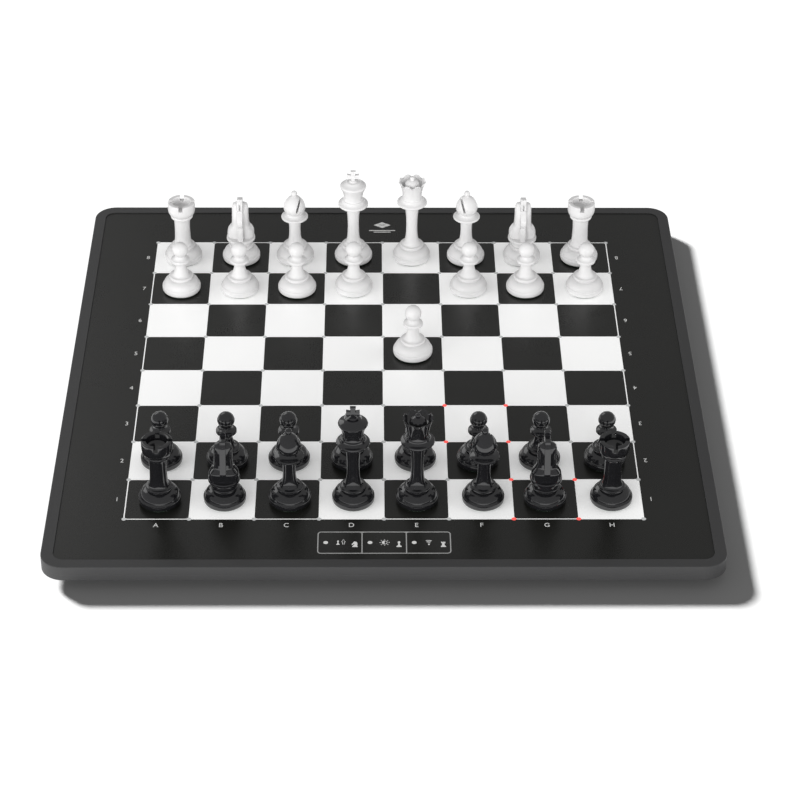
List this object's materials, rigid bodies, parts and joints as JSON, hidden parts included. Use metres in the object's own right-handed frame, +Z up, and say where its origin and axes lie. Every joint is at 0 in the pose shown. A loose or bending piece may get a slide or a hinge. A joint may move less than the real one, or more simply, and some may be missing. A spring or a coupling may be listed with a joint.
{
  "type": "electronic chess computer",
  "caption": "Flat square chess board with sensors under its fields, indicator dots at their corners, keys along its front edge, and a full set of weighted plastic chess pieces.",
  "frame": {"origin": "middle of the footprint, on the surface the board's feet stand on", "axes": "+Z up, -Y towards the near side with the keys and rank 1, +X along the files from A to H"},
  "size_m": [0.374, 0.374, 0.0791],
  "materials": {
    "shell": "fine satin grain, dark grey",
    "panel": "smooth semi-gloss, near black",
    "light_fields": "satin light grey film",
    "dot_clear": "frosted clear",
    "dot_lit": "frosted clear, lit red",
    "inner_black": "moulded",
    "circuit_board": "solder mask",
    "chip": "moulded",
    "led": "clear resin",
    "plated_metal": "plated",
    "cell_wrap": "foil wrap",
    "wire": "insulated wire",
    "ribbon": "flat flexible cable",
    "knob": "moulded",
    "trim": "satin light grey",
    "key_cap": "smooth semi-gloss, near black",
    "foot_rubber": "matte",
    "white_piece": "polished white",
    "black_piece": "polished black",
    "print": "printed ink, light grey",
    "felt": "pressed felt, dark green"
  },
  "bodies": {
    "board": {"bottom_case": "shell", "top_frame": "shell", "play_panel": "panel", "light_square_sheet": "light_fields", "dot_lenses": "dot_clear", "lit_dot_lenses": "dot_lit", "spacer_grid": "inner_black", "sensor_board": "circuit_board", "square_sensors": "chip", "dot_leds": "led", "key_leds": "led", "key_switches": "chip", "control_board": "circuit_board", "control_chips": "chip", "radio_module": "plated_metal", "battery_cell": "cell_wrap", "battery_lead": "wire", "ribbon_cable": "ribbon", "usb_socket": "plated_metal", "power_switch": "chip", "key_trim": "trim", "rubber_feet": "foot_rubber", "case_screws": "plated_metal", "board_screws": "plated_metal"},
    "side_swap_key": {"side_swap_key": "key_cap"},
    "brightness_key": {"brightness_key": "key_cap"},
    "wireless_key": {"wireless_key": "key_cap"},
    "power_switch_knob": {"power_switch_knob": "knob"},
    "white_king": {"white_king": "white_piece"},
    "white_queen": {"white_queen": "white_piece"},
    "white_rook_a": {"white_rook_a": "white_piece"},
    "white_rook_h": {"white_rook_h": "white_piece"},
    "white_knight_b": {"white_knight_b": "white_piece"},
    "white_knight_g": {"white_knight_g": "white_piece"},
    "white_bishop_c": {"white_bishop_c": "white_piece"},
    "white_bishop_f": {"white_bishop_f": "white_piece"},
    "white_pawn_a": {"white_pawn_a": "white_piece"},
    "white_pawn_b": {"white_pawn_b": "white_piece"},
    "white_pawn_c": {"white_pawn_c": "white_piece"},
    "white_pawn_d": {"white_pawn_d": "white_piece"},
    "white_pawn_e": {"white_pawn_e": "white_piece"},
    "white_pawn_f": {"white_pawn_f": "white_piece"},
    "white_pawn_g": {"white_pawn_g": "white_piece"},
    "white_pawn_h": {"white_pawn_h": "white_piece"},
    "black_king": {"black_king": "black_piece"},
    "black_queen": {"black_queen": "black_piece"},
    "black_rook_a": {"black_rook_a": "black_piece"},
    "black_rook_h": {"black_rook_h": "black_piece"},
    "black_knight_b": {"black_knight_b": "black_piece"},
    "black_knight_g": {"black_knight_g": "black_piece"},
    "black_bishop_c": {"black_bishop_c": "black_piece"},
    "black_bishop_f": {"black_bishop_f": "black_piece"},
    "black_pawn_a": {"black_pawn_a": "black_piece"},
    "black_pawn_b": {"black_pawn_b": "black_piece"},
    "black_pawn_c": {"black_pawn_c": "black_piece"},
    "black_pawn_d": {"black_pawn_d": "black_piece"},
    "black_pawn_e": {"black_pawn_e": "black_piece"},
    "black_pawn_f": {"black_pawn_f": "black_piece"},
    "black_pawn_g": {"black_pawn_g": "black_piece"},
    "black_pawn_h": {"black_pawn_h": "black_piece"}
  },
  "joints": [
    {"name": "side_swap_key_press", "type": "slide", "parent": "board", "child": "side_swap_key", "axis": [0, 0, -1], "range_m": [0, 0.0004], "stiffness_N_per_m": 2000, "springref_m": -0.00025},
    {"name": "brightness_key_press", "type": "slide", "parent": "board", "child": "brightness_key", "axis": [0, 0, -1], "range_m": [0, 0.0004], "stiffness_N_per_m": 2000, "springref_m": -0.00025},
    {"name": "wireless_key_press", "type": "slide", "parent": "board", "child": "wireless_key", "axis": [0, 0, -1], "range_m": [0, 0.0004], "stiffness_N_per_m": 2000, "springref_m": -0.00025},
    {"name": "power_switch_slide", "type": "slide", "parent": "board", "child": "power_switch_knob", "axis": [1, 0, 0], "range_m": [0, 0.003]},
    {"name": "white_king_lift", "type": "slide", "parent": "board", "child": "white_king", "axis": [0, 0, 1], "range_m": [0, 0.08]},
    {"name": "white_queen_lift", "type": "slide", "parent": "board", "child": "white_queen", "axis": [0, 0, 1], "range_m": [0, 0.08]},
    {"name": "white_rook_a_lift", "type": "slide", "parent": "board", "child": "white_rook_a", "axis": [0, 0, 1], "range_m": [0, 0.08]},
    {"name": "white_rook_h_lift", "type": "slide", "parent": "board", "child": "white_rook_h", "axis": [0, 0, 1], "range_m": [0, 0.08]},
    {"name": "white_knight_b_lift", "type": "slide", "parent": "board", "child": "white_knight_b", "axis": [0, 0, 1], "range_m": [0, 0.08]},
    {"name": "white_knight_g_lift", "type": "slide", "parent": "board", "child": "white_knight_g", "axis": [0, 0, 1], "range_m": [0, 0.08]},
    {"name": "white_bishop_c_lift", "type": "slide", "parent": "board", "child": "white_bishop_c", "axis": [0, 0, 1], "range_m": [0, 0.08]},
    {"name": "white_bishop_f_lift", "type": "slide", "parent": "board", "child": "white_bishop_f", "axis": [0, 0, 1], "range_m": [0, 0.08]},
    {"name": "white_pawn_a_lift", "type": "slide", "parent": "board", "child": "white_pawn_a", "axis": [0, 0, 1], "range_m": [0, 0.08]},
    {"name": "white_pawn_b_lift", "type": "slide", "parent": "board", "child": "white_pawn_b", "axis": [0, 0, 1], "range_m": [0, 0.08]},
    {"name": "white_pawn_c_lift", "type": "slide", "parent": "board", "child": "white_pawn_c", "axis": [0, 0, 1], "range_m": [0, 0.08]},
    {"name": "white_pawn_d_lift", "type": "slide", "parent": "board", "child": "white_pawn_d", "axis": [0, 0, 1], "range_m": [0, 0.08]},
    {"name": "white_pawn_e_lift", "type": "slide", "parent": "board", "child": "white_pawn_e", "axis": [0, 0, 1], "range_m": [0, 0.08]},
    {"name": "white_pawn_f_lift", "type": "slide", "parent": "board", "child": "white_pawn_f", "axis": [0, 0, 1], "range_m": [0, 0.08]},
    {"name": "white_pawn_g_lift", "type": "slide", "parent": "board", "child": "white_pawn_g", "axis": [0, 0, 1], "range_m": [0, 0.08]},
    {"name": "white_pawn_h_lift", "type": "slide", "parent": "board", "child": "white_pawn_h", "axis": [0, 0, 1], "range_m": [0, 0.08]},
    {"name": "black_king_lift", "type": "slide", "parent": "board", "child": "black_king", "axis": [0, 0, 1], "range_m": [0, 0.08]},
    {"name": "black_queen_lift", "type": "slide", "parent": "board", "child": "black_queen", "axis": [0, 0, 1], "range_m": [0, 0.08]},
    {"name": "black_rook_a_lift", "type": "slide", "parent": "board", "child": "black_rook_a", "axis": [0, 0, 1], "range_m": [0, 0.08]},
    {"name": "black_rook_h_lift", "type": "slide", "parent": "board", "child": "black_rook_h", "axis": [0, 0, 1], "range_m": [0, 0.08]},
    {"name": "black_knight_b_lift", "type": "slide", "parent": "board", "child": "black_knight_b", "axis": [0, 0, 1], "range_m": [0, 0.08]},
    {"name": "black_knight_g_lift", "type": "slide", "parent": "board", "child": "black_knight_g", "axis": [0, 0, 1], "range_m": [0, 0.08]},
    {"name": "black_bishop_c_lift", "type": "slide", "parent": "board", "child": "black_bishop_c", "axis": [0, 0, 1], "range_m": [0, 0.08]},
    {"name": "black_bishop_f_lift", "type": "slide", "parent": "board", "child": "black_bishop_f", "axis": [0, 0, 1], "range_m": [0, 0.08]},
    {"name": "black_pawn_a_lift", "type": "slide", "parent": "board", "child": "black_pawn_a", "axis": [0, 0, 1], "range_m": [0, 0.08]},
    {"name": "black_pawn_b_lift", "type": "slide", "parent": "board", "child": "black_pawn_b", "axis": [0, 0, 1], "range_m": [0, 0.08]},
    {"name": "black_pawn_c_lift", "type": "slide", "parent": "board", "child": "black_pawn_c", "axis": [0, 0, 1], "range_m": [0, 0.08]},
    {"name": "black_pawn_d_lift", "type": "slide", "parent": "board", "child": "black_pawn_d", "axis": [0, 0, 1], "range_m": [0, 0.08]},
    {"name": "black_pawn_e_lift", "type": "slide", "parent": "board", "child": "black_pawn_e", "axis": [0, 0, 1], "range_m": [0, 0.08]},
    {"name": "black_pawn_f_lift", "type": "slide", "parent": "board", "child": "black_pawn_f", "axis": [0, 0, 1], "range_m": [0, 0.08]},
    {"name": "black_pawn_g_lift", "type": "slide", "parent": "board", "child": "black_pawn_g", "axis": [0, 0, 1], "range_m": [0, 0.08]},
    {"name": "black_pawn_h_lift", "type": "slide", "parent": "board", "child": "black_pawn_h", "axis": [0, 0, 1], "range_m": [0, 0.08]}
  ]
}
